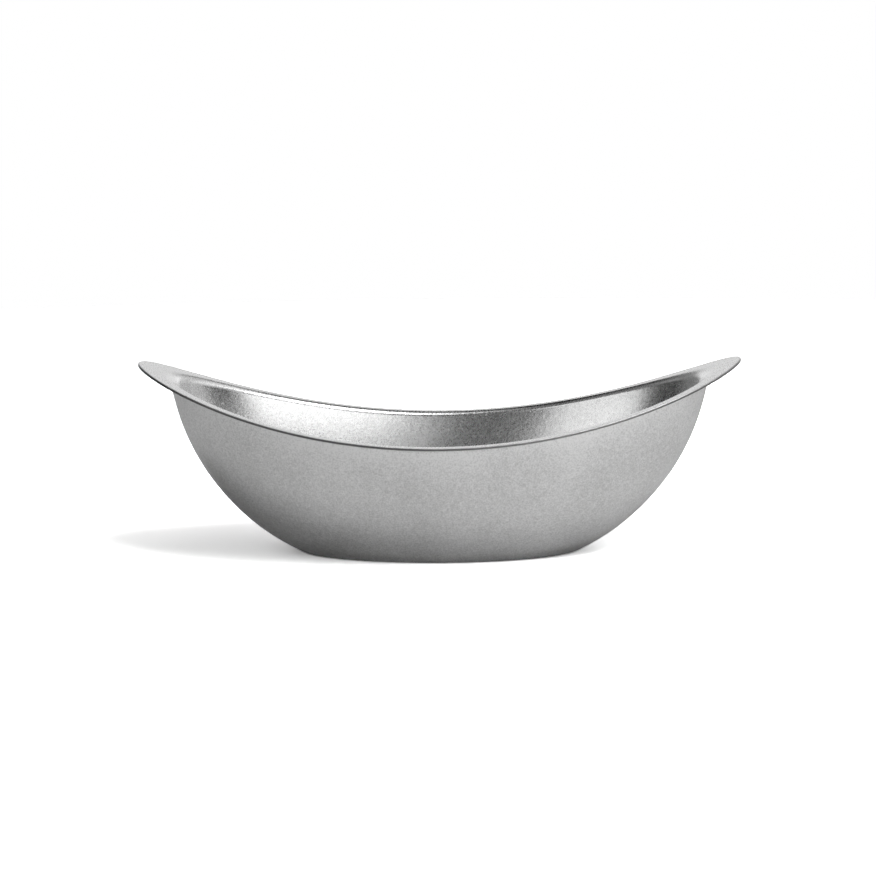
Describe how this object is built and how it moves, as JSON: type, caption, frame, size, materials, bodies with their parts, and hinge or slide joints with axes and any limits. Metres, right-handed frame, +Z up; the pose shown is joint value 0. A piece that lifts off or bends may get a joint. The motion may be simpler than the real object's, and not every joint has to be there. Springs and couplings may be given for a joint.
{
  "type": "sauce boat",
  "caption": "Boat-shaped steel sauce dish pressed from one sheet: flat oval base, curved wall, saddle-shaped rim with an out-turned pouring lip at each end; no handle or foot.",
  "frame": {"origin": "centre of the boat's box in plan, on the plane that its flat base rests on", "axes": "+X along the length towards one pouring lip, +Y across the width, +Z up"},
  "size_m": [0.2, 0.092, 0.0643],
  "materials": {
    "tumbled_steel": "tumbled satin: soft grey sheen with a fine, directionless grain of tiny nicks and dents, broken by brighter rubbed spots"
  },
  "bodies": {
    "root": {"boat": "tumbled_steel"}
  },
  "joints": []
}
